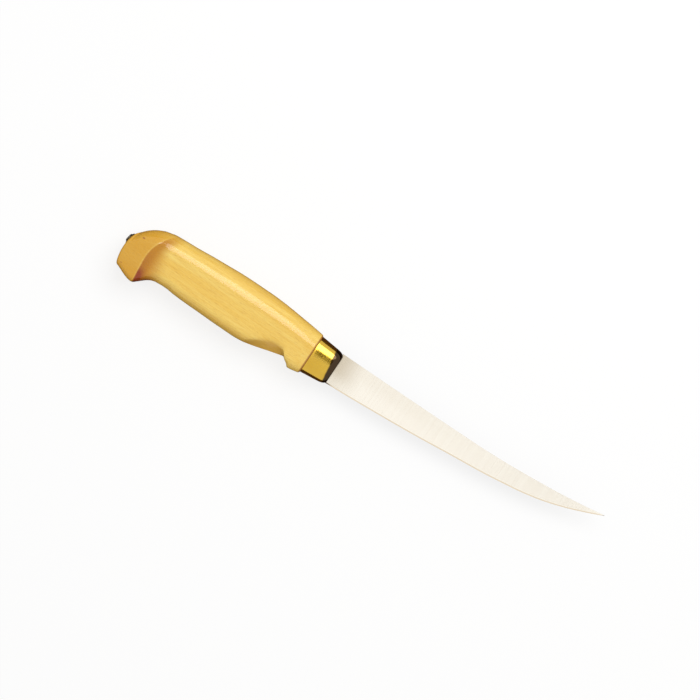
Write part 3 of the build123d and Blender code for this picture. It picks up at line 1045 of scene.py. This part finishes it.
def keepOff(lamp, piece):
    # The lamp doesn't light this piece, so that it never mirrors the softbox as a burnt-out sheet
    missed = bpy.data.collections.new(lamp.name + "Misses")
    missed.objects.link(piece)
    missed.collection_objects[0].light_linking.link_state = "EXCLUDE"
    lamp.light_linking.receiver_collection = missed


def makeCard(name, verts, quads, tone):
    # Dark card that only shows mirrored in the polished pieces, and throws no shadow
    mesh = bpy.data.meshes.new(name)
    mesh.from_pydata(verts.tolist(), [], quads.tolist())
    card = bpy.data.objects.new(name, mesh)
    bpy.context.scene.collection.objects.link(card)
    material = bpy.data.materials.new(name)
    material.use_nodes = True
    tree = material.node_tree
    tree.nodes.clear()
    output = tree.nodes.new("ShaderNodeOutputMaterial")
    matt = tree.nodes.new("ShaderNodeBsdfDiffuse")
    matt.inputs["Color"].default_value = (*tone, 1)
    tree.links.new(matt.outputs[0], output.inputs["Surface"])
    mesh.materials.append(material)
    card.visible_camera = False
    card.visible_diffuse = False
    card.visible_shadow = False
    card.visible_transmission = False
    return card


def makeFlag():
    # Strip over the knife between two angles from straight up on the spine's side: each long side
    # lies the height times the tangent of its angle away
    height = studio["flagHeight"]
    near, far = (height * math.tan(math.radians(angle)) for angle in studio["flagAngles"])
    left, right = studio["flagRun"]
    corners = [(left, near), (right, near), (right, far), (left, far)]
    verts = np.array([[x, y, height] for x, y in corners])
    return makeCard("overheadFlag", verts, np.array([[0, 3, 2, 1]]), studio["flagTone"])


def makeRing():
    # Dish round the knife: a flat ring just over the floor, then a low wall, as steps of a circle
    count = studio["ringSteps"]
    around = np.linspace(0, 2 * math.pi, count, endpoint=False)
    circle = np.stack([np.cos(around), np.sin(around)], -1)
    low, top = np.full(count, studio["ringLift"]), np.full(count, studio["ringHeight"])
    profile = [(studio["ringHole"], low), (studio["ringRadius"], low), (studio["ringRadius"], top)]
    verts = np.vstack([np.column_stack([circle * radius, z]) for radius, z in profile])
    k = np.arange(count)
    kn = (k + 1) % count
    quads = np.stack([k, k + count, kn + count, kn], -1)
    return makeCard("lowRing", verts, np.vstack([quads, quads + count]), studio["ringTone"])


def makeWorld():
    # A soft level of light from all round, and plain white where the world itself is seen
    world = bpy.data.worlds.new("studioWorld")
    bpy.context.scene.world = world
    world.use_nodes = True
    tree = world.node_tree
    tree.nodes.clear()
    output = tree.nodes.new("ShaderNodeOutputWorld")
    soft = tree.nodes.new("ShaderNodeBackground")
    white = tree.nodes.new("ShaderNodeBackground")
    soft.inputs["Color"].default_value = (*studio["worldTone"], 1)
    soft.inputs["Strength"].default_value = studio["worldLevel"]
    white.inputs["Color"].default_value = (1, 1, 1, 1)
    white.inputs["Strength"].default_value = 1.0
    mix = tree.nodes.new("ShaderNodeMixShader")
    tree.links.new(seenDirectly(tree), mix.inputs[0])
    tree.links.new(soft.outputs[0], mix.inputs[1])
    tree.links.new(white.outputs[0], mix.inputs[2])
    tree.links.new(mix.outputs[0], output.inputs["Surface"])


view = {
    "turn": math.radians(34),
    "lens": 300.0,
    "sensor": 36.0,
    "pixels": 700,
    "mmPerPixel": 0.49,
    "middle": (0.77, 11.97),
}


def makeCamera():
    # Straight down; the image's width at the blade's plane, times lens over sensor, is the distance
    data = bpy.data.cameras.new("longLens")
    data.lens = view["lens"]
    data.sensor_width = view["sensor"]
    camera = bpy.data.objects.new("longLens", data)
    bpy.context.scene.collection.objects.link(camera)
    width = view["pixels"] * view["mmPerPixel"] * mm
    camera.location = (
        view["middle"][0] * mm + drawingOrigin[0],
        view["middle"][1] * mm + drawingOrigin[1],
        drawingOrigin[2] + width * data.lens / data.sensor_width,
    )
    camera.rotation_euler = (0, 0, view["turn"])
    bpy.context.scene.camera = camera


makeFloor()
makeWorld()
makeFlag()
makeRing()
keySettings = [studio[label] for label in ("keyPlace", "keyAim", "keySize", "keyPower")]
keyLamp = makeLamp("keySoftbox", *keySettings)
keepOff(keyLamp, bladePiece)
makeCamera()
bpy.context.scene.view_settings.view_transform = "Standard"
print("studio set")
